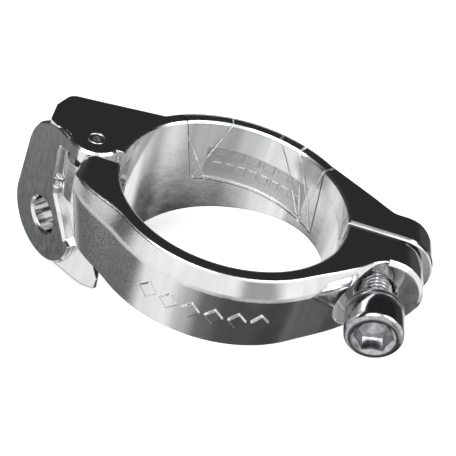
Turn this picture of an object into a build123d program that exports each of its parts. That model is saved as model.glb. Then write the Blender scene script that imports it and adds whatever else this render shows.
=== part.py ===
from build123d import *
import os
from math import cos, radians, sin

# Hinged two-piece band clamp for a 34.9 mm seat tube, with a mounting plate for a front
# derailleur and one clamp bolt.
# Frame, in millimetres: origin on the tube's axis at mid-height of the band, +Z up the tube,
# -X towards the hinge, -Y towards the front half and the bolt's head.

# ---- driving dimensions ----
BORE_R = 17.45  # half of the 34.9 mm seat tube
BAND_TOP = 7.0
BAND_BOTTOM = -7.0  # rear half's body round the hinge
FRONT_BOTTOM = -5.0
REAR_R = 19.6  # outside of the rear half's thin wall
SPLIT_GAP = 0.8  # between the two lugs
TOP_EDGE = 0.35  # chamfer round the top faces

BEVEL_IN = 1.1  # front half's bevel, towards the axis
BEVEL_DOWN = 2.5  # and along the axis
FRONT_R = 20.7  # front half's outer wall below the bevel
FRONT_LOWER_EDGE = 0.6
FRONT_JOIN = 226  # angle where the hinge end runs into the round wall
END_LOW_X, END_X = -21.6, -23.2  # the hinge end leans outwards
END_ROUND = 2.5
SHOULDER_ROUND = 3.0
TOP_ROUND = 0.5

HINGE_X, HINGE_Y = -22.2, 1.8
KNUCKLE_R = 4.0
TONGUE_R = 3.9
SLOT_CLEARANCE = 0.25
SLOT_Z = 3.6  # half-height of the slot between the two ears
TONGUE_Z = 3.45
PIN_R = 1.35
PIN_DIMPLE_R = 0.72
PIN_DIMPLE_DEPTH = 1.2
TONGUE_CLEARANCE = 0.05

BOLT_X, BOLT_Z = 24.0, 1.0
FRONT_LUG_X, FRONT_LUG_R = 25.0, 6.0  # rounded end of each lug
REAR_LUG_X, REAR_LUG_R = 26.6, 6.0
LUG_BACK_Y = 6.2
SEAT_Y = -6.2  # spot face that the washer lands on
SEAT_R = 5.9
CLEARANCE_HOLE_R = 2.75
THREAD_HOLE_R = 2.5
HOLE_CHAMFER = 0.5
FRONT_LUG_BEVEL = 0.6
REAR_LUG_BEVEL = 0.3
PLATE_EDGE = 0.35

HEAD_R = 4.25  # M5 socket head
HEAD_H = 5.0
HEX_KEY = 5.0  # across flats
HEX_DEPTH = 2.8
BOLT_LENGTH = 12.0
THREAD_R = 2.44
WASHER_R = 4.2
WASHER_HOLE_R = 2.65
WASHER_T = 1.0
BACKED_OUT = 4.0  # gap left between the washer and its seat

PLATE_TURN = 40.0  # plate's normal, turned from -Y towards -X
PLATE_DISTANCE = 16.8  # plate's face from the tube's axis
PLATE_T = 5.5
BRACKET_WAIST = 0.9  # how far the bracket's side draws back behind the plate's face
PLATE_R = 8.1
PLATE_HOLE_S, PLATE_HOLE_Z = -23.6, -10.9  # along the plate and along the tube
PLATE_TOP_S, PLATE_TOP_Z = -22.0, -1.0  # centre of the plate's upper lobe
PLATE_TOP_R = 8.0
PLATE_HOLE_R = 3.0
PLATE_HOLE_CHAMFER = 0.45
NOTCH_DEPTH = 2.0
WING_HEAD, WING_FOOT, WING_BACK = 14.7, 16.5, 9.1  # distances from the tube's axis, like the plate's
NOTCH_BEVEL = 0.5

LABEL_FROM, LABEL_TO = 49.0, 111.0  # degrees round the bore
LABEL_LOW, LABEL_HIGH = -4.0, 1.9
LABEL_DEPTH = 0.2
DASH_RAISE = 0.14

BADGE_FROM, BADGE_TO = 248.0, 293.0
BADGE_COUNT = 6
BADGE_HALF = 1.3
BADGE_RAISE = 0.25
BADGE_Z = 0.3

FILM_FROM, FILM_TO = 47.0, 113.0
FILM_AIR = 0.02
FILM_T = 0.05
FILM_BOTTOM = -5.6


def on_circle(radius, angle):
    """Point at a radius and an angle in degrees in the plan view."""
    return (radius * cos(radians(angle)), radius * sin(radians(angle)))


def upright(radius, low, high, x=0.0, y=0.0):
    """Cylinder along the tube's axis between two heights."""
    return Pos(x, y, (low + high) / 2) * Cylinder(radius, high - low)


def along_y(radius, y_from, y_to, x=BOLT_X, z=BOLT_Z):
    """Cylinder along the bolt's direction between two places in Y."""
    middle = (y_from + y_to) / 2
    return Pos(x, middle, z) * Rot(90, 0, 0) * Cylinder(radius, abs(y_to - y_from))


def countersink(place, radius, depth):
    """Cone to cut: opens a hole's mouth by its own depth, its wide end towards place's +Z."""
    return place * Cone(radius, radius + 2 * depth, 2 * depth)


def block(x0, x1, y0, y1, z0, z1):
    """Box between two corners."""
    centre = Pos((x0 + x1) / 2, (y0 + y1) / 2, (z0 + z1) / 2)
    return centre * Box(x1 - x0, y1 - y0, z1 - z0)


def plate_plane(distance):
    """Plane parallel to the mounting plate, its x along the plate and its y up the tube."""
    turn = radians(PLATE_TURN)
    normal = (-sin(turn), -cos(turn), 0)
    origin = (normal[0] * distance, normal[1] * distance, 0)
    return Plane(origin=origin, x_dir=(cos(turn), -sin(turn), 0), z_dir=normal)


def plate_point(s, z, distance=PLATE_DISTANCE):
    """Point of the plate's own frame in the part's frame."""
    return plate_plane(distance).from_local_coords(Vector(s, z, 0))


def round_edges(shape, radius):
    """Circular edges of one radius."""
    return shape.edges().filter_by(GeomType.CIRCLE).filter_by(lambda e: abs(e.radius - radius) < 0.01)


def on_plate_face(edge):
    """True if the edge lies in the mounting plate's face."""
    plane = plate_plane(PLATE_DISTANCE)
    return all(abs(plane.to_local_coords(edge.position_at(t)).Z) < 0.01 for t in (0, 0.5, 1))


# ---- rear half ----
def rear_plan():
    """Plan outline of the rear half above the band's lower edge."""
    web_start = on_circle(REAR_R, 46)
    bracket_end = on_circle(REAR_R, 136)
    flush = PLATE_DISTANCE - 0.1
    waisted = PLATE_DISTANCE - BRACKET_WAIST
    steps = ((-18.2, waisted), (-21.4, waisted), (-23.0, flush), (-25.0, flush))
    side = [plate_point(s, 0, d) for s, d in steps]
    with BuildLine() as line:
        Polyline(
            web_start, (20.9, 9.0), (24.6, LUG_BACK_Y), (REAR_LUG_X + REAR_LUG_R, LUG_BACK_Y),
            (REAR_LUG_X + REAR_LUG_R, -1.0), (-17.0, -1.0), (HINGE_X, -1.0),
            *[(point.X, point.Y) for point in side], (-30.3, 7.6), (-29.2, 11.4), (-25.4, 11.9), bracket_end,
        )
        ThreePointArc(bracket_end, on_circle(REAR_R, 90), web_start)
    plan = make_face(line.line)
    plan = fillet(plan.vertices().filter_by(lambda v: 20 < v.X < 26 and v.Y > 5), 2.0)
    plan = fillet(plan.vertices().filter_by(lambda v: v.X > 30 and v.Y > 5), 4.0)
    plan = fillet(plan.vertices().filter_by(lambda v: v.X < -28 and v.Y > 10), 1.8)
    return fillet(plan.vertices().filter_by(lambda v: v.X < -28 and 2 < v.Y < 8.5), 0.8)


def plate_blank():
    """Mounting plate: two round lobes joined, standing along the tube."""
    with BuildSketch(plate_plane(PLATE_DISTANCE)) as sketch:
        with Locations((PLATE_HOLE_S, PLATE_HOLE_Z)):
            Circle(PLATE_R)
        with Locations((PLATE_TOP_S, PLATE_TOP_Z)):
            Circle(PLATE_TOP_R)
        make_hull()
    blank = extrude(sketch.sketch, -PLATE_T)
    return chamfer([e for e in blank.edges() if on_plate_face(e)], PLATE_EDGE)


def wing_plan(front):
    """Plan of the wing: front is its face's distance from the tube's axis, turning back at its blade edge."""
    plane = plate_plane(0)

    def place(s, distance):
        return plane.from_local_coords(Vector(s, 0, distance))
    along = plane.x_dir
    with BuildLine() as line:
        Line(place(-28.5, front), place(-17.5, front))
        Spline(place(-17.5, front), place(-9.4, front - 0.6), tangents=(along, along.rotate(Axis.Z, 12)))
        Polyline(
            place(-9.4, front - 0.6), place(-9.4, WING_BACK), place(-28.5, WING_BACK), place(-28.5, front),
        )
    return make_face(line.line)


def lower_body():
    """Wing under the hinge: joins the plate's lower lobe to the tube and leans out towards its foot."""
    column = loft([Pos(0, 0, -19.0) * wing_plan(WING_FOOT), Pos(0, 0, -6.5) * wing_plan(WING_HEAD)])
    with BuildSketch(plate_plane(PLATE_DISTANCE + 2)) as sketch:
        with BuildLine():
            Polyline(
                (-28.5, -6.9), (-14.3, -6.9), (-13.8, -8.4), (-8.2, -15.2), (-12.0, -16.6),
                (-24.0, -18.6), (-28.5, -16.5), close=True,
            )
        make_face()
    return column & extrude(sketch.sketch, -12.0)


def rear_wall():
    """Thin wall round the bore."""
    wall = upright(REAR_R, -19.0, BAND_TOP) - upright(BORE_R, -20.0, BAND_TOP + 1)
    return wall - block(-40, 40, -40, SPLIT_GAP / 2, -20, 10)


def below_lower_edge():
    """What lies under the rear half's lower edge, which drops towards the bracket."""
    with BuildSketch(Plane.XZ.offset(-40)) as sketch:
        with BuildLine():
            Spline((26.0, -5.0), (17.0, -5.2), (1.0, -9.2), (-12.5, -13.0), (-20.0, -18.0),
                   tangents=((-1, 0), (-1, -0.9)))
            Polyline((-20.0, -18.0), (-20.0, -25), (45, -25), (45, -5.0), (26.0, -5.0))
        make_face()
    return extrude(sketch.sketch, 60)


def lug_end_trim(centre_x, radius):
    """What is cut away to round a lug's end, about an axis along the bolt."""
    square = block(centre_x, centre_x + 20, -20, 20, -20, 20)
    return square - along_y(radius, -21, 21, centre_x)


def hinge_slot():
    """Slot between the ears, open to the bore and to the tongue's swing."""
    slot = upright(TONGUE_R + SLOT_CLEARANCE, -SLOT_Z, SLOT_Z, HINGE_X, HINGE_Y)
    slot += block(HINGE_X, -15.0, -6.0, HINGE_Y + 2.6, -SLOT_Z, SLOT_Z)
    with BuildSketch(plate_plane(30)) as sketch:
        with Locations((-18.0, 0)):
            Rectangle(8.0, 2 * SLOT_Z)
    return slot + extrude(sketch.sketch, -18.5)


def swing_notch():
    """Recess in the plate's right side that the opened front half swings into, with a beveled mouth."""
    with BuildSketch(plate_plane(PLATE_DISTANCE)) as sketch:
        with BuildLine():
            Polyline((-21.3, 4.1), (-14.0, 4.6), (-14.0, -11.6), (-16.9, -11.0), (-21.1, -4.9), close=True)
        make_face()
    mouth = extrude(offset(sketch.sketch, NOTCH_BEVEL), -NOTCH_BEVEL, taper=45)
    return extrude(sketch.sketch, -NOTCH_DEPTH) + mouth


def label_panel():
    """Shallow recess in the bore's wall, with two rows of raised dashes."""
    span = LABEL_TO - LABEL_FROM
    ring = upright(BORE_R + LABEL_DEPTH, LABEL_LOW, LABEL_HIGH) - upright(BORE_R - 1, -10, 10)
    recess = ring & sector(LABEL_FROM, LABEL_TO)
    raised_ring = upright(BORE_R + 1, -10, 10) - upright(BORE_R + LABEL_DEPTH - DASH_RAISE, -10, 10)
    dashes = []
    for row_z, count in ((1.1, 6), (-1.6, 8)):
        step = (span - 8) / count
        for i in range(count):
            start = LABEL_FROM + 4 + (i + 0.12) * step
            band = block(-30, 30, -30, 30, row_z - 0.75, row_z + 0.75)
            dashes.append(raised_ring & sector(start, start + 0.72 * step) & band)
    return recess, dashes


def sector(start, end, radius=40.0):
    """Wedge about the tube's axis between two angles, for cutting."""
    with BuildSketch() as sketch:
        with BuildLine():
            Polyline(on_circle(radius, start), (0, 0), on_circle(radius, end))
            ThreePointArc(on_circle(radius, start), on_circle(radius, (start + end) / 2),
                          on_circle(radius, end))
        make_face()
    return Pos(0, 0, -20) * extrude(sketch.sketch, 40)


def build_rear_half():
    body = Pos(0, 0, BAND_BOTTOM) * extrude(rear_plan(), BAND_TOP - BAND_BOTTOM)
    body -= block(-19.5, 40, -20, SPLIT_GAP / 2, -20, 20)
    body -= block(HINGE_X, -10, -20, HINGE_Y, -20, 20)
    body -= block(-40, HINGE_X, -20, HINGE_Y - KNUCKLE_R, -20, 20)
    knuckle = upright(KNUCKLE_R, BAND_BOTTOM, BAND_TOP, HINGE_X, HINGE_Y)
    body += chamfer(knuckle.edges().sort_by(Axis.Z)[-1], TOP_EDGE)
    body -= lug_end_trim(REAR_LUG_X, REAR_LUG_R)
    body += rear_wall()
    body -= below_lower_edge()
    body += plate_blank()
    body += lower_body()
    body -= upright(BORE_R, -30, 30)
    body -= hinge_slot()
    body -= swing_notch()
    body -= upright(PIN_R, -30, 30, HINGE_X, HINGE_Y)
    body -= along_y(THREAD_HOLE_R, -1, 10)
    for face_y, out in ((SPLIT_GAP / 2, -1), (LUG_BACK_Y, 1)):
        mouth = Pos(BOLT_X, face_y, BOLT_Z) * Rot(-90 * out, 0, 0)
        body -= countersink(mouth, THREAD_HOLE_R, HOLE_CHAMFER)
    hole = plate_plane(PLATE_DISTANCE).location * Pos(PLATE_HOLE_S, PLATE_HOLE_Z, 0)
    body -= hole * Cylinder(PLATE_HOLE_R, 30)
    body -= countersink(hole, PLATE_HOLE_R, PLATE_HOLE_CHAMFER)
    recess, dashes = label_panel()
    body -= recess
    for dash in dashes:
        body += dash & recess
    top = body.faces().filter_by(Axis.Z).sort_by(Axis.Z)[-1]
    lug_side = top.edges().filter_by(lambda e: e.center().X > 0)
    split_rims = lug_side.filter_by(lambda e: abs(e.center().Y - SPLIT_GAP / 2) < 0.01)
    body = chamfer(round_edges(top, BORE_R) + split_rims, TOP_EDGE)
    body = chamfer(round_edges(body, REAR_LUG_R).sort_by(Axis.Y)[0], REAR_LUG_BEVEL)
    # the notch's mouth cuts a crumb loose beside the lower ear, so only the half itself is kept
    return body.solids().sort_by(SortBy.VOLUME)[-1]


# ---- front half ----
def front_outline(inset, end_x):
    """Plan outline of the front half, drawn in by the bevel where inset is 1; end_x is its hinge end."""
    step = BEVEL_IN * inset
    wall_r = FRONT_R - step
    hinge_side = on_circle(wall_r, FRONT_JOIN)
    lug_side = on_circle(wall_r, 309)
    along = radians(FRONT_JOIN - 180)
    with BuildLine() as line:
        Spline((end_x, -4.6), hinge_side, tangents=((0, -1), (sin(along), -cos(along))))
        ThreePointArc(hinge_side, on_circle(wall_r, 263), lug_side)
        Spline(lug_side, (20.4, -9.9 + step), (24.6, -7.3 + step),
               tangents=((cos(radians(39)), sin(radians(39))), (1, 0.1)))
        Polyline((24.6, -7.3 + step), (34.0, -7.3 + step), (34.0, 4.0), (end_x, 4.0), (end_x, -4.6))
    return make_face(line.line)


def edges_at(shape, z):
    """Level edges of the front half's outer side at one height, up to the lug."""
    level = shape.edges().filter_by(lambda e: abs(e.center().Z - z) < 0.01)
    return level.filter_by(lambda e: e.center().Y < -4 and e.center().X < FRONT_LUG_X)


def front_blank():
    """Bar with an upright outer wall, a soft shoulder, a wide bevel and a rounded hinge end."""
    shoulder = BAND_TOP - BEVEL_DOWN
    middle = Pos(0, 0, shoulder) * front_outline(0, END_X)
    wall = loft([Pos(0, 0, FRONT_BOTTOM) * front_outline(0, END_LOW_X), middle])
    bevel = loft([middle, Pos(0, 0, BAND_TOP) * front_outline(1, END_X + 0.3)])
    bar = chamfer(wall.faces().sort_by(Axis.Z)[0].edges(), FRONT_LOWER_EDGE) + bevel
    bar = fillet(edges_at(bar, shoulder), SHOULDER_ROUND)
    bar = fillet(edges_at(bar, BAND_TOP), TOP_ROUND)
    centre_x, centre_z = END_X + END_ROUND, BAND_TOP - END_ROUND
    corner = block(END_X - 2, centre_x, -25, 5, centre_z, BAND_TOP + 2)
    return bar - (corner - along_y(END_ROUND, -26, 6, centre_x, centre_z))


def tongue():
    """Middle leaf of the hinge, reaching from the front half's blunt end to the pin."""
    leaf = upright(TONGUE_R, -TONGUE_Z, TONGUE_Z, HINGE_X, HINGE_Y)
    leaf += block(HINGE_X, -18.6, -4.0, HINGE_Y, -TONGUE_Z, TONGUE_Z)
    return leaf


def badge():
    """Plain row of raised lozenges on the outer wall."""
    shapes = []
    step = (BADGE_TO - BADGE_FROM) / (BADGE_COUNT - 1)
    for i in range(BADGE_COUNT):
        angle = radians(BADGE_FROM + i * step)
        face_plane = Plane(origin=(0, 0, 0), x_dir=(0, 0, 1), z_dir=(cos(angle), sin(angle), 0))
        with BuildSketch(face_plane) as sketch:
            with Locations((BADGE_Z, 0)):
                Polygon((BADGE_HALF, 0), (0, BADGE_HALF), (-BADGE_HALF, 0), (0, -BADGE_HALF))
        shapes.append(extrude(sketch.sketch, FRONT_R + BADGE_RAISE))
    ring = upright(FRONT_R + BADGE_RAISE, -3, 3) - upright(FRONT_R - 0.5, -4, 4)
    return [ring & shape for shape in shapes]


def lug_bevel():
    """What is cut away round the front edge of the front half's lug."""
    back = SEAT_Y + FRONT_LUG_BEVEL
    middle = Pos(FRONT_LUG_X, (SEAT_Y + back) / 2, BOLT_Z) * Rot(90, 0, 0)
    keep = middle * Cone(FRONT_LUG_R, FRONT_LUG_R - FRONT_LUG_BEVEL, FRONT_LUG_BEVEL)
    with BuildSketch(Plane.YZ.offset(BOLT_X)) as sketch:
        with BuildLine():
            inner, outer = BOLT_Z + FRONT_LUG_R - FRONT_LUG_BEVEL, BOLT_Z + FRONT_LUG_R
            Polyline((SEAT_Y, -6), (SEAT_Y, inner), (back, outer), (back, -6), close=True)
        make_face()
    keep += extrude(sketch.sketch, FRONT_LUG_X - BOLT_X)
    return block(BOLT_X, FRONT_LUG_X + 8, SEAT_Y, back, -6, 8) - keep


def build_front_half():
    body = front_blank()
    body -= block(-40, -15.5, HINGE_Y - KNUCKLE_R - 0.3, 20, -20, 20)
    body -= block(-16.5, 40, -SPLIT_GAP / 2, 20, -20, 20)
    body += tongue()
    body -= lug_end_trim(FRONT_LUG_X, FRONT_LUG_R)
    body -= upright(BORE_R, -20, 20)
    body -= upright(PIN_R + TONGUE_CLEARANCE, -20, 20, HINGE_X, HINGE_Y)
    for lozenge in badge():
        body += lozenge
    body -= along_y(SEAT_R, -30, SEAT_Y)
    body -= block(BOLT_X, 40, -30, SEAT_Y, -20, 20)
    body -= along_y(CLEARANCE_HOLE_R, -30, 1)
    mouth = Pos(BOLT_X, SEAT_Y, BOLT_Z) * Rot(90, 0, 0)
    body -= countersink(mouth, CLEARANCE_HOLE_R, HOLE_CHAMFER)
    top = body.faces().filter_by(Axis.Z).sort_by(Axis.Z)[-1]
    return chamfer(round_edges(top, BORE_R), TOP_EDGE) - lug_bevel()


# ---- small pieces ----
def build_hinge_pin():
    """Rivet pin with a dimple in each end."""
    pin = upright(PIN_R, BAND_BOTTOM, BAND_TOP, HINGE_X, HINGE_Y)
    for end in (BAND_TOP, BAND_BOTTOM):
        pin -= upright(PIN_DIMPLE_R, end - PIN_DIMPLE_DEPTH, end + PIN_DIMPLE_DEPTH, HINGE_X, HINGE_Y)
    rims = pin.edges().filter_by(GeomType.CIRCLE).filter_by(lambda e: abs(e.radius - PIN_R) < 0.01)
    return fillet(rims, 0.35)


def build_washer():
    back = SEAT_Y - BACKED_OUT
    ring = along_y(WASHER_R, back, back - WASHER_T) - along_y(WASHER_HOLE_R, back + 1, back - 3)
    return ring


def build_bolt():
    """Socket-head bolt, its axis along Y, head towards -Y."""
    under = SEAT_Y - BACKED_OUT - WASHER_T
    top = under - HEAD_H
    head = along_y(HEAD_R, under, top)
    rims = head.edges().filter_by(GeomType.CIRCLE)
    head = fillet(rims.sort_by(Axis.Y)[0], 0.7)
    with BuildSketch(Plane(origin=(BOLT_X, top, BOLT_Z), x_dir=(1, 0, 0), z_dir=(0, 1, 0))) as sketch:
        RegularPolygon(HEX_KEY / 2, 6, major_radius=False, rotation=-15)
    head -= extrude(sketch.sketch, HEX_DEPTH)
    shank = along_y(THREAD_R, under, under + BOLT_LENGTH)
    shank = chamfer(shank.edges().sort_by(Axis.Y)[-1], 0.5)
    return head + shank


def build_film():
    """Clear protective film folded over the rear half's wall."""
    def fold(air):
        outer = upright(REAR_R + air, FILM_BOTTOM, BAND_TOP + air)
        return outer - upright(BORE_R - air, -20, 20)
    gap = fold(FILM_AIR)
    skin = fold(FILM_AIR + FILM_T)
    return (skin - gap) & sector(FILM_FROM, FILM_TO)


os.makedirs("parts", exist_ok=True)
parts = {
    "rear_half": build_rear_half(),
    "front_half": build_front_half(),
    "hinge_pin": build_hinge_pin(),
    "washer": build_washer(),
    "clamp_bolt": build_bolt(),
    "film": build_film(),
}
for name, solid in parts.items():
    export_step(solid, f"parts/{name}.step")
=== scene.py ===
import math
import bpy
from mathutils import Matrix, Vector, noise


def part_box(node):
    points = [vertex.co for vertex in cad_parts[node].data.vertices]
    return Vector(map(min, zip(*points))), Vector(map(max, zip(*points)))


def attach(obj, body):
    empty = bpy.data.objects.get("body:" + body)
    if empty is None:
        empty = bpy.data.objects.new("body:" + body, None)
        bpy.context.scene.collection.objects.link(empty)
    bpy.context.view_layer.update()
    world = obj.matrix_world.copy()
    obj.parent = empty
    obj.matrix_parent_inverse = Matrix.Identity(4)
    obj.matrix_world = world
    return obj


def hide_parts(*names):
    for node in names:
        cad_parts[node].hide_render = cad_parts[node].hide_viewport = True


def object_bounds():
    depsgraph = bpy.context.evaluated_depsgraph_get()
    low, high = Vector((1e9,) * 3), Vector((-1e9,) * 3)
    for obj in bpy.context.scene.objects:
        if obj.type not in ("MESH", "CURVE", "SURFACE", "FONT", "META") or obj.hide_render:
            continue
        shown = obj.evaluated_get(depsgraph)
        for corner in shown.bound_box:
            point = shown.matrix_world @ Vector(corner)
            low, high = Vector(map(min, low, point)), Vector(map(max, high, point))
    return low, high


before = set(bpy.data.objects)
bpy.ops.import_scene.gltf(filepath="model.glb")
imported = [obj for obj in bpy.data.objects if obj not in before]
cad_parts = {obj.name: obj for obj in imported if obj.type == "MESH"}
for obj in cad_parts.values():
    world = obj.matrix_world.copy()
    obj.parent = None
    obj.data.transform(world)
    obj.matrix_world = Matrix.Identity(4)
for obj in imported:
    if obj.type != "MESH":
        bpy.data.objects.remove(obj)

cad_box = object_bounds()

# ---- driving dimensions, in metres and degrees ----
MM = 0.001
VIEW_AZIMUTH, VIEW_ELEVATION, VIEW_ROLL = -1.5, 37.6, 18.0
VIEW_DISTANCE = 0.130
VIEW_RIGHT, VIEW_UP = 1.34 * MM, 5.80 * MM  # how far the bore's top centre is from the picture's centre
LENS = 69.1

BAND_TOP = 7.0 * MM
BORE_R = 17.45 * MM
WALL_R = 19.6 * MM
PLATE_NORMAL = (-math.sin(math.radians(40.0)), -math.cos(math.radians(40.0)), 0.0)
PLATE_FACE = 16.8 * MM
LABEL_MIDDLE, LABEL_HALF = -1.05 * MM, 2.97 * MM

HEAD_R, HEAD_H = 4.25 * MM, 5.0 * MM
SOCKET_FLATS, SOCKET_DEPTH = 5.0 * MM, 2.8 * MM
THREAD_R, THREAD_PITCH, THREAD_DEPTH = 2.44 * MM, 0.8 * MM, 0.5 * MM
SOCKET_TURN = 15  # how far the hexagon is turned about the bolt
MOUTH_R, MOUTH_SLOPE = 3.05 * MM, 0.8  # countersunk mouth of the socket
HEAD_RIM = 0.85 * MM  # round at the head's outer edge
THREAD_CREST = 0.15 * MM  # how far the plain neck under the head stands over the thread
TIP_BEVEL = 0.5 * MM
WASHER_BORE_R, WASHER_EDGE = 2.65 * MM, 0.14 * MM
SEAT_GAP = 0.01 * MM  # keeps the washer's faces just clear of the head and the lug
LATHE_SEGMENTS = 144

FILM_FROM, FILM_TO = 39.0, 121.0  # arc that the film covers, in degrees round the tube
FILM_INNER_LOW, FILM_OUTER_LOW = -4.6 * MM, -5.0 * MM  # its two lower edges
FILM_SLANT = 0.4  # lean of its side edges, which each edge takes its own share of
FILM_OUT = 0.035 * MM  # from the wall to the film's middle
FILM_T = 0.03 * MM
FILM_ROWS, FILM_COLUMNS = 24, 200
# each crease: degrees where it crosses mid height, degrees per mm of height, half width, height in mm
CREASES = (
    (117.0, 1.9, 0.9, 0.34), (110.5, -1.3, 0.7, 0.24), (58.5, 2.3, 1.0, 0.32),
    (53.0, 1.3, 0.8, 0.28), (47.5, 2.0, 0.7, 0.26), (46.0, -0.4, 0.5, 0.20),
)


# ---- node helpers ----
def new_material(name):
    mat = bpy.data.materials.new(name)
    mat.use_nodes = True
    tree = mat.node_tree
    return mat, tree, tree.nodes["Principled BSDF"]


def math_node(tree, operation, a, b=0.0, clamp=False):
    node = tree.nodes.new("ShaderNodeMath")
    node.operation = operation
    node.use_clamp = clamp
    for socket, value in zip(node.inputs, (a, b)):
        if isinstance(value, (int, float)):
            socket.default_value = value
        else:
            tree.links.new(value, socket)
    return node.outputs[0]


def ramp(tree, value, stops):
    """Grey ramp through (position, level) stops."""
    node = tree.nodes.new("ShaderNodeValToRGB")
    node.color_ramp.interpolation = "EASE"
    elements = node.color_ramp.elements
    while len(elements) < len(stops):
        elements.new(0.5)
    for element, (position, level) in zip(elements, stops):
        element.position = position
        element.color = (level, level, level, 1.0)
    tree.links.new(value, node.inputs[0])
    return node.outputs[0]


def remap(tree, value, from_low, from_high, to_low, to_high):
    node = tree.nodes.new("ShaderNodeMapRange")
    node.interpolation_type = "SMOOTHSTEP"
    tree.links.new(value, node.inputs[0])
    for socket, number in zip(node.inputs[1:5], (from_low, from_high, to_low, to_high)):
        socket.default_value = number
    return node.outputs[0]


def mix(tree, factor, a, b):
    node = tree.nodes.new("ShaderNodeMix")
    node.data_type = "RGBA"
    for socket, value in ((node.inputs[0], factor), (node.inputs[6], a), (node.inputs[7], b)):
        if isinstance(value, (int, float, tuple)):
            socket.default_value = value
        else:
            tree.links.new(value, socket)
    return node.outputs[2]


def object_point(tree, scale=(1000.0, 1000.0, 1000.0)):
    """Position in the row frame, in millimetres unless scaled otherwise."""
    place = tree.nodes.new("ShaderNodeTexCoord").outputs["Object"]
    node = tree.nodes.new("ShaderNodeVectorMath")
    node.operation = "MULTIPLY"
    tree.links.new(place, node.inputs[0])
    node.inputs[1].default_value = scale
    return node.outputs[0]


def noise_node(tree, vector, scale, detail=3.0, roughness=0.5):
    node = tree.nodes.new("ShaderNodeTexNoise")
    tree.links.new(vector, node.inputs["Vector"])
    node.inputs["Scale"].default_value = scale
    node.inputs["Detail"].default_value = detail
    node.inputs["Roughness"].default_value = roughness
    return node.outputs[0]


def split(tree, vector):
    node = tree.nodes.new("ShaderNodeSeparateXYZ")
    tree.links.new(vector, node.inputs[0])
    return node.outputs


def bump(tree, height, strength, distance, normal=None):
    node = tree.nodes.new("ShaderNodeBump")
    node.inputs["Strength"].default_value = strength
    node.inputs["Distance"].default_value = distance
    tree.links.new(height, node.inputs["Height"])
    if normal is not None:
        tree.links.new(normal, node.inputs["Normal"])
    return node.outputs[0]


def soft_edges(tree, radius):
    node = tree.nodes.new("ShaderNodeBevel")
    node.samples = 6
    node.inputs["Radius"].default_value = radius
    return node.outputs[0]


# ---- materials ----
def radius_and_angle(tree, x, y):
    """Distance from the tube's axis and angle round it."""
    squares = math_node(tree, "ADD", math_node(tree, "MULTIPLY", x, x), math_node(tree, "MULTIPLY", y, y))
    return math_node(tree, "SQRT", squares), math_node(tree, "ARCTAN2", y, x)


def plate_mask(tree, point):
    """One on the mounting plate's face."""
    dot = tree.nodes.new("ShaderNodeVectorMath")
    dot.operation = "DOT_PRODUCT"
    tree.links.new(point, dot.inputs[0])
    dot.inputs[1].default_value = PLATE_NORMAL
    return math_node(tree, "GREATER_THAN", dot.outputs["Value"], PLATE_FACE / MM - 0.05)


def label_mask(tree, radius, y, z):
    """One on the floor of the recessed panel inside the bore."""
    recessed = math_node(tree, "GREATER_THAN", radius, BORE_R / MM + 0.03)
    shallow = math_node(tree, "LESS_THAN", radius, BORE_R / MM + 0.23)
    height = math_node(tree, "ABSOLUTE", math_node(tree, "SUBTRACT", z, LABEL_MIDDLE / MM))
    low = math_node(tree, "LESS_THAN", height, LABEL_HALF / MM)
    back = math_node(tree, "GREATER_THAN", y, 10.0)
    return math_node(tree, "MULTIPLY", math_node(tree, "MULTIPLY", recessed, shallow),
                     math_node(tree, "MULTIPLY", low, back))


def level_mask(tree):
    """One on faces that look straight up the tube."""
    normal = tree.nodes.new("ShaderNodeNewGeometry").outputs["Normal"]
    return math_node(tree, "GREATER_THAN", split(tree, normal)[2], 0.97)


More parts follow.
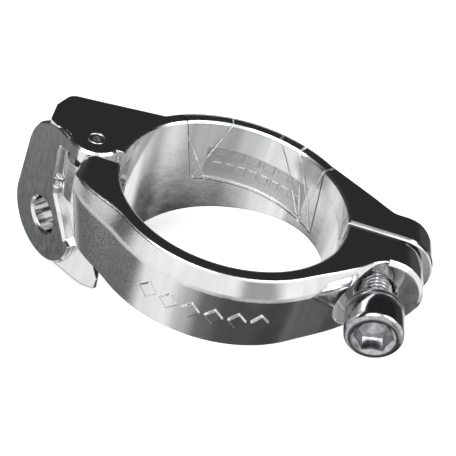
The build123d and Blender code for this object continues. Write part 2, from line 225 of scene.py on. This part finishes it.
def alloy_material(name, has_plate):
    """Polished forged aluminium: polishing marks in gloss and bumps, painted reflection streaks in the
    colour of its upright walls, and for the rear half a brushed plate and a matt panel.
    """
    mat, tree, shader = new_material(name)
    point = object_point(tree)
    x, y, z = split(tree, point)
    radius, angle = radius_and_angle(tree, x, y)
    cloud = noise_node(tree, point, 0.35, 4.0, 0.6)
    grain = noise_node(tree, point, 5.0, 4.0, 0.65)
    # painted reflection: noise stretched up the walls round the tube, for streaks of lighter and darker
    # colour
    combine = tree.nodes.new("ShaderNodeCombineXYZ")
    tree.links.new(math_node(tree, "MULTIPLY", angle, 7.0), combine.inputs[0])
    tree.links.new(math_node(tree, "MULTIPLY", radius, 0.25), combine.inputs[1])
    tree.links.new(math_node(tree, "MULTIPLY", z, 0.05), combine.inputs[2])
    painted_reflection_streak = noise_node(tree, combine.outputs[0], 1.0, 2.5, 0.5)

    level = level_mask(tree)
    # painted reflection streaks in the upright walls' colour; level faces keep one plain colour
    painted_streak_colour = mix(tree, remap(tree, painted_reflection_streak, 0.3, 0.7, 0.0, 1.0),
                   (0.78, 0.785, 0.79, 1), (0.92, 0.92, 0.92, 1))
    colour = mix(tree, level, painted_streak_colour, (0.80, 0.80, 0.80, 1))
    rough = mix(tree, level, remap(tree, cloud, 0.35, 0.7, 0.07, 0.15), (0.12, 0.12, 0.12, 1))
    normal = soft_edges(tree, 0.25 * MM)
    upright_share = math_node(tree, "SUBTRACT", 1.0, level)
    normal = bump(tree, math_node(tree, "MULTIPLY", cloud, upright_share), 0.08, 0.15 * MM, normal)

    if has_plate:
        brushed = noise_node(tree, object_point(tree, (900.0, 900.0, 350.0)), 1.6, 5.0, 0.7)
        plate = plate_mask(tree, point)
        label = label_mask(tree, radius, y, z)
        plate_colour = mix(tree, remap(tree, brushed, 0.3, 0.7, 0.0, 1.0),
                           (0.24, 0.245, 0.25, 1), (0.36, 0.365, 0.37, 1))
        label_colour = mix(tree, remap(tree, grain, 0.3, 0.7, 0.0, 1.0),
                           (0.72, 0.72, 0.72, 1), (0.94, 0.94, 0.94, 1))
        colour = mix(tree, label, mix(tree, plate, colour, plate_colour), label_colour)
        rough = mix(tree, plate, rough, remap(tree, brushed, 0.3, 0.7, 0.32, 0.46))
        rough = mix(tree, label, rough, (0.50, 0.50, 0.50, 1))
        normal = bump(tree, math_node(tree, "MULTIPLY", brushed, plate), 0.25, 0.03 * MM, normal)
        coarse = label
    else:
        hinge_end = remap(tree, x, -17.0, -4.0, 1.0, 0.0)
        outer_side = remap(tree, y, -6.5, -4.5, 1.0, 0.0)
        outer_end = math_node(tree, "MULTIPLY", hinge_end, outer_side)
        coarse = math_node(tree, "MULTIPLY", outer_end, upright_share)
        speckled = remap(tree, grain, 0.35, 0.65, 0.16, 0.30)
        rough = mix(tree, coarse, rough, speckled)
        blotch = mix(tree, remap(tree, grain, 0.35, 0.62, 0.0, 1.0),
                     (0.50, 0.51, 0.53, 1), (0.76, 0.76, 0.77, 1))
        colour = mix(tree, coarse, colour, blotch)
    graininess = math_node(tree, "ADD", coarse, 0.10)
    normal = bump(tree, math_node(tree, "MULTIPLY", grain, graininess), 0.25, 0.02 * MM, normal)
    tree.links.new(colour, shader.inputs["Base Color"])
    shader.inputs["Metallic"].default_value = 1.0
    tree.links.new(rough, shader.inputs["Roughness"])
    tree.links.new(normal, shader.inputs["Normal"])
    return mat


def steel_material(name, dark, light, rough_low, rough_high):
    """Plated or polished steel, a little uneven in tone and gloss."""
    mat, tree, shader = new_material(name)
    point = object_point(tree)
    cloud = noise_node(tree, point, 0.8, 4.0, 0.6)
    fine = noise_node(tree, point, 9.0, 3.0, 0.6)
    colour = mix(tree, remap(tree, cloud, 0.3, 0.7, 0.0, 1.0), (*dark, 1), (*light, 1))
    tree.links.new(colour, shader.inputs["Base Color"])
    shader.inputs["Metallic"].default_value = 1.0
    tree.links.new(remap(tree, fine, 0.3, 0.7, rough_low, rough_high), shader.inputs["Roughness"])
    tree.links.new(bump(tree, fine, 0.05, 0.02 * MM), shader.inputs["Normal"])
    return mat


def crease_highlight_mask(tree, point):
    """One along the film's creases, where a white highlight is painted into the film."""
    x, y, z = split(tree, point)
    degrees = math_node(tree, "MULTIPLY", radius_and_angle(tree, x, y)[1], 180 / math.pi)
    total = None
    for start, slope, width, _ in CREASES:
        line = math_node(tree, "ADD", math_node(tree, "MULTIPLY", z, slope), start)
        offset = math_node(tree, "ABSOLUTE", math_node(tree, "SUBTRACT", degrees, line))
        painted_highlight = math_node(tree, "SUBTRACT", 1.0, math_node(tree, "DIVIDE", offset, 0.7 * width), clamp=True)
        total = painted_highlight if total is None else math_node(tree, "MAXIMUM", total, painted_highlight)
    return total


def film_material():
    """Thin clear plastic film with a little haze, and a painted highlight that turns it white along its
    creases.
    """
    mat, tree, shader = new_material("clear_film")
    point = object_point(tree)
    haze = noise_node(tree, point, 0.5, 4.0, 0.6)
    patches = remap(tree, noise_node(tree, point, 0.35, 2.0, 0.5), 0.42, 0.58, 0.15, 1.0)
    # painted highlight: the film is made white and less clear along its creases, in patches
    painted_highlight = math_node(tree, "MULTIPLY", crease_highlight_mask(tree, point), patches)
    shader.inputs["Base Color"].default_value = (0.97, 0.98, 0.98, 1)
    tree.links.new(math_node(tree, "SUBTRACT", 1.0, painted_highlight), shader.inputs["Transmission Weight"])
    shader.inputs["IOR"].default_value = 1.45
    tree.links.new(remap(tree, haze, 0.4, 0.7, 0.02, 0.10), shader.inputs["Roughness"])
    tree.links.new(bump(tree, haze, 0.1, 0.05 * MM), shader.inputs["Normal"])
    return mat


# ---- mesh helpers ----
def make_piece(name, vertices, faces, material, body, sharp_angle=35.0):
    mesh = bpy.data.meshes.new(name)
    mesh.from_pydata(vertices, [], faces)
    mesh.validate()
    for polygon in mesh.polygons:
        polygon.use_smooth = True
    mesh.set_sharp_from_angle(angle=math.radians(sharp_angle))
    mesh.materials.append(material)
    piece = bpy.data.objects.new(name, mesh)
    bpy.context.scene.collection.objects.link(piece)
    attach(piece, body)
    return piece


def hexagon_factor(angle):
    """Radius of the socket's hexagon at an angle, for an apothem of one."""
    third = math.radians(60)
    return 1.0 / math.cos((angle - math.radians(SOCKET_TURN)) % third - third / 2)


def loops_to_mesh(rings, closed_ends=True):
    """Quads between loops of equal length, with a fan at each end."""
    count = len(rings[0])
    vertices = [point for ring in rings for point in ring]
    faces = []
    for i in range(len(rings) - 1):
        for j in range(count):
            k = (j + 1) % count
            faces.append((i * count + j, (i + 1) * count + j, (i + 1) * count + k, i * count + k))
    if closed_ends:
        for i, ring in ((0, rings[0]), (len(rings) - 1, rings[-1])):
            centre = len(vertices)
            vertices.append(tuple(sum(c) / count for c in zip(*ring)))
            for j in range(count):
                pair = (i * count + j, i * count + (j + 1) % count)
                faces.append((centre, *(pair if i == 0 else pair[::-1])))
    return vertices, faces


# ---- the bolt and its washer ----
def turned_ring(centre, y, radius, shape=None, sink=None):
    """One loop about the bolt's axis; shape is a factor on the radius by angle, sink a depth by angle."""
    ring = []
    for j in range(LATHE_SEGMENTS):
        angle = 2 * math.pi * j / LATHE_SEGMENTS
        r = radius * (shape(angle) if shape else 1.0)
        depth = sink(angle) if sink else 0.0
        ring.append((centre.x + r * math.cos(angle), y + depth, centre.z + r * math.sin(angle)))
    return ring


def thread_factor(y, tip_y, under_head_y):
    """Radius factor of the helical thread, which fades out at the tip and under the head."""
    fade = min(1.0, (tip_y - y) / (0.7 * MM), (y - under_head_y) / (0.9 * MM))
    fade = max(0.0, fade)

    def factor(angle):
        phase = (y / THREAD_PITCH + angle / (2 * math.pi)) % 1.0
        wave = (0.5 - 0.5 * math.cos(2 * math.pi * phase)) ** 0.8
        return 1.0 - fade * wave * THREAD_DEPTH / THREAD_R
    return factor


def make_bolt(material):
    low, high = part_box("clamp_bolt")
    centre = Vector(((low.x + high.x) / 2, 0.0, (low.z + high.z) / 2))
    top, tip = low.y, high.y
    under = top + HEAD_H
    rings = [
        turned_ring(centre, tip, THREAD_R - TIP_BEVEL - 0.12 * MM),
        turned_ring(centre, tip - 0.05 * MM, THREAD_R - TIP_BEVEL),
    ]
    steps = int((tip - under) / (THREAD_PITCH / 14))
    for i in range(1, steps + 1):
        y = tip - (tip - under) * i / steps
        chamfer = min(1.0, (THREAD_R - max(0.0, TIP_BEVEL - (tip - y))) / THREAD_R)
        thread = thread_factor(y, tip, under)
        rings.append(turned_ring(centre, y, THREAD_R, lambda a: min(chamfer, thread(a))))
    head_profile = (
        (THREAD_R + THREAD_CREST, under), (HEAD_R - 0.25 * MM, under),
        (HEAD_R - 0.07 * MM, under - 0.07 * MM), (HEAD_R, under - 0.25 * MM), (HEAD_R, under - 2.0 * MM),
    )
    for r, y in head_profile:
        rings.append(turned_ring(centre, y, r))
    for i in range(9):
        turn = math.radians(90 * i / 8)
        y = top + HEAD_RIM - HEAD_RIM * math.sin(turn)
        rings.append(turned_ring(centre, y, HEAD_R - HEAD_RIM + HEAD_RIM * math.cos(turn)))
    apothem = SOCKET_FLATS / 2

    def mouth_depth(angle):
        return (MOUTH_R - apothem * hexagon_factor(angle)) * MOUTH_SLOPE
    rings.append(turned_ring(centre, top, MOUTH_R + 0.05 * MM))
    rings.append(turned_ring(centre, top + 0.02 * MM, MOUTH_R))
    for inset in (0.0, 0.04, 0.5, 1.4):
        rings.append(turned_ring(centre, top + inset * MM, apothem, hexagon_factor, mouth_depth))
    rings.append(turned_ring(centre, top + SOCKET_DEPTH, apothem * 0.99, hexagon_factor))
    rings.append(turned_ring(centre, top + SOCKET_DEPTH + 0.05 * MM, 1.6 * MM))
    rings.append(turned_ring(centre, top + SOCKET_DEPTH + 0.6 * MM, 0.3 * MM))
    vertices, faces = loops_to_mesh(rings)
    piece = make_piece("clamp_bolt_turned", vertices, faces, material, "bolt", 30.0)
    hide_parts("clamp_bolt")


def make_washer(material):
    low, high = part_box("washer")
    centre = Vector(((low.x + high.x) / 2, 0.0, (low.z + high.z) / 2))
    outer, inner, edge = (high.x - low.x) / 2, WASHER_BORE_R, WASHER_EDGE
    front, back = low.y + SEAT_GAP, high.y - SEAT_GAP
    profile = (
        (inner, front + edge), (inner, back - edge), (inner + edge, back), (outer - 2 * edge, back),
        (outer - 0.6 * edge, back - 0.4 * edge), (outer, back - 1.6 * edge), (outer, front + edge),
        (outer - 0.3 * edge, front + 0.3 * edge), (outer - edge, front), (inner + edge, front),
    )
    rings = [turned_ring(centre, y, r) for r, y in profile]
    vertices, faces = loops_to_mesh(rings + rings[:1], closed_ends=False)
    count = len(profile) * LATHE_SEGMENTS
    faces = [tuple(i % count for i in face) for face in faces]
    piece = make_piece(
        "washer_turned", vertices[:count], faces, material, "washer_body", 40.0)
    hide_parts("washer")


# ---- the clear film over the rear half's wall ----
def crease(angle, z):
    """Height of the film off the wall: a few sharp diagonal folds on a slow wave."""
    value = 0.05 * (0.5 + 0.5 * noise.noise(Vector((angle * 0.09, z * 0.5, 3.0))))
    for start, slope, width, tall in CREASES:
        offset = abs(angle - (start + slope * z)) / width
        value += tall * max(0.0, 1.0 - offset)
    return value * MM


def film_profile():
    """Film's cross section as (radius, height, way out from the wall, share of a crease's height)."""
    profile = []
    top = BAND_TOP - 0.3 * MM
    for i in range(FILM_ROWS + 1):
        z = FILM_INNER_LOW + (top - FILM_INNER_LOW) * i / FILM_ROWS
        profile.append((BORE_R - FILM_OUT, z, (-1, 0), 1.0))
    for i in range(1, 8):
        r = BORE_R + (WALL_R - BORE_R) * i / 8
        profile.append((r, BAND_TOP + FILM_OUT, (0, 1), 0.35))
    for i in range(FILM_ROWS + 1):
        z = top - (top - FILM_OUTER_LOW) * i / FILM_ROWS
        profile.append((WALL_R + FILM_OUT, z, (1, 0), 0.6))
    return profile


def make_film(material):
    """Folded over the wall: up the inside, over the top and down the outside."""
    vertices = []
    profile = film_profile()
    for i in range(FILM_COLUMNS + 1):
        for r, z, (out_r, out_z), share in profile:
            slant = FILM_SLANT * z / MM
            start, end = FILM_FROM + 1.5 * slant, FILM_TO + 2.2 * slant
            angle = start + (end - start) * i / FILM_COLUMNS
            lift = crease(angle, z / MM) * share
            a = math.radians(angle)
            radius = r + out_r * lift
            vertices.append((radius * math.cos(a), radius * math.sin(a), z + out_z * lift))
    rows = len(profile)
    faces = []
    for i in range(FILM_COLUMNS):
        for j in range(rows - 1):
            a = i * rows + j
            faces.append((a, a + 1, a + rows + 1, a + rows))
    piece = make_piece("protective_film", vertices, faces, material, "rear", 60.0)
    thick = piece.modifiers.new("thickness", "SOLIDIFY")
    thick.thickness = FILM_T
    thick.offset = 0.0
    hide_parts("film")


# ---- studio ----
def make_camera():
    a, e, roll = (math.radians(v) for v in (VIEW_AZIMUTH, VIEW_ELEVATION, VIEW_ROLL))
    right = Vector((math.cos(a), math.sin(a), 0.0))
    back = Vector((math.sin(a) * math.cos(e), -math.cos(a) * math.cos(e), math.sin(e)))
    up = back.cross(right)
    image_right = math.cos(roll) * right + math.sin(roll) * up
    image_up = -math.sin(roll) * right + math.cos(roll) * up
    data = bpy.data.cameras.new("camera")
    data.lens = LENS
    data.sensor_width = 36.0
    data.clip_start, data.clip_end = 0.005, 10.0
    camera = bpy.data.objects.new("camera", data)
    place = Vector((0, 0, BAND_TOP)) - VIEW_RIGHT * image_right - VIEW_UP * image_up + VIEW_DISTANCE * back
    camera.matrix_world = Matrix((
        (image_right.x, image_up.x, back.x, place.x),
        (image_right.y, image_up.y, back.y, place.y),
        (image_right.z, image_up.z, back.z, place.z),
        (0, 0, 0, 1),
    ))
    bpy.context.scene.collection.objects.link(camera)
    bpy.context.scene.camera = camera


def make_floor():
    mat, tree, shader = new_material("floor_paper")
    shader.inputs["Base Color"].default_value = (0.93, 0.93, 0.93, 1)
    shader.inputs["Roughness"].default_value = 0.9
    shader.inputs["Emission Color"].default_value = (1.0, 1.0, 1.0, 1)
    shader.inputs["Emission Strength"].default_value = 0.45
    mesh = bpy.data.meshes.new("floor")
    z = cad_box[0].z - 0.05 * MM
    mesh.from_pydata([(-3, -3, z), (3, -3, z), (3, 3, z), (-3, 3, z)], [], [(0, 1, 2, 3)])
    mesh.materials.append(mat)
    floor = bpy.data.objects.new("floor", mesh)
    bpy.context.scene.collection.objects.link(floor)
    floor.visible_glossy = False
    floor.visible_transmission = False


# rings of cards round the object, as (degrees from the front towards +X, level); low ones near the floor
LOW_CARDS = (
    (-180, 0.95), (-140, 0.80), (-122, 0.40), (-110, 0.16), (-66, 0.17), (-54, 0.95), (-29, 0.95),
    (-12, 0.50), (3, 0.15), (24, 0.08), (72, 0.06), (84, 0.14), (94, 0.08), (112, 0.12), (126, 0.95),
    (180, 0.95),
)
MIDDLE_CARDS = (
    (-180, 0.95), (-140, 0.90), (-110, 0.80), (-66, 0.90), (-50, 0.95), (-20, 0.92), (0, 0.70),
    (16, 0.42), (30, 0.55), (60, 0.50), (84, 0.80), (100, 0.55), (126, 0.95), (180, 0.95),
)
LEVEL_CARDS = (
    (-178, 0.95), (-165, 0.06), (-120, 0.06), (-96, 0.08), (-74, 0.16), (-58, 1.0), (18, 1.0),
    (30, 0.38), (46, 0.38), (60, 1.0), (104, 0.95), (118, 0.07), (166, 0.06), (178, 0.95),
)
WHITE, BLACK_TOP, DARK_SIDE = (1.0, 1.0, 1.0, 1), (0.028, 0.028, 0.030, 1), (0.05, 0.05, 0.052, 1)


def azimuth_stops(levels):
    """Ramp stops from (degrees from the front towards +X, level) pairs."""
    return [((angle + 180.0) / 360.0, level) for angle, level in levels]


def make_world():
    """Soft white tent with dark cards, seen by reflections; plain white to the camera."""
    world = bpy.data.worlds.new("studio")
    bpy.context.scene.world = world
    world.use_nodes = True
    tree = world.node_tree
    direction = tree.nodes.new("ShaderNodeTexCoord").outputs["Generated"]
    x, y, z = split(tree, direction)
    azimuth = math_node(tree, "ARCTAN2", x, math_node(tree, "MULTIPLY", y, -1.0))
    turn = math_node(tree, "ADD", math_node(tree, "DIVIDE", azimuth, 2 * math.pi), 0.5)
    below = ramp(tree, turn, azimuth_stops(LOW_CARDS))
    middle = ramp(tree, turn, azimuth_stops(MIDDLE_CARDS))
    level = ramp(tree, turn, azimuth_stops(LEVEL_CARDS))
    above = mix(tree, remap(tree, y, 0.02, 0.30, 0.0, 1.0), WHITE, BLACK_TOP)
    above = mix(tree, remap(tree, x, -0.78, -0.50, 1.0, 0.0), above, DARK_SIDE)
    floorward = mix(tree, remap(tree, z, -0.605, -0.555, 0.0, 1.0), below, middle)
    lower = mix(tree, remap(tree, z, -0.42, -0.24, 0.0, 1.0), floorward, level)
    tent = mix(tree, remap(tree, z, 0.16, 0.34, 0.0, 1.0), lower, above)
    is_camera = tree.nodes.new("ShaderNodeLightPath").outputs["Is Camera Ray"]
    background = tree.nodes["Background"]
    tree.links.new(mix(tree, is_camera, tent, WHITE), background.inputs["Color"])
    background.inputs["Strength"].default_value = 1.0


def make_light(name, place, size, power):
    data = bpy.data.lights.new(name, "AREA")
    data.shape = "DISK"
    data.size = size
    data.energy = power
    light = bpy.data.objects.new(name, data)
    light.location = place
    light.rotation_euler = (-Vector(place)).to_track_quat("-Z", "Y").to_euler()
    bpy.context.scene.collection.objects.link(light)


# ---- assembly ----
for name in ("Cube", "Light", "Camera"):
    if name in bpy.data.objects:
        bpy.data.objects.remove(bpy.data.objects[name])

bpy.context.scene.view_settings.view_transform = "Standard"
make_camera()
make_floor()
make_world()
make_light("key", (-0.20, -0.30, 0.55), 0.5, 2.6)
make_light("fill", (0.35, -0.10, 0.50), 0.5, 1.4)

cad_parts["rear_half"].data.materials[0] = alloy_material("rear_alloy", True)
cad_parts["front_half"].data.materials[0] = alloy_material("front_alloy", False)
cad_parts["hinge_pin"].data.materials[0] = steel_material(
    "pin_steel", (0.50, 0.50, 0.51), (0.72, 0.72, 0.72), 0.14, 0.26)
make_bolt(steel_material("bolt_steel", (0.38, 0.38, 0.40), (0.58, 0.58, 0.59), 0.10, 0.20))
make_washer(steel_material("washer_steel", (0.45, 0.45, 0.46), (0.62, 0.62, 0.63), 0.20, 0.34))
make_film(film_material())
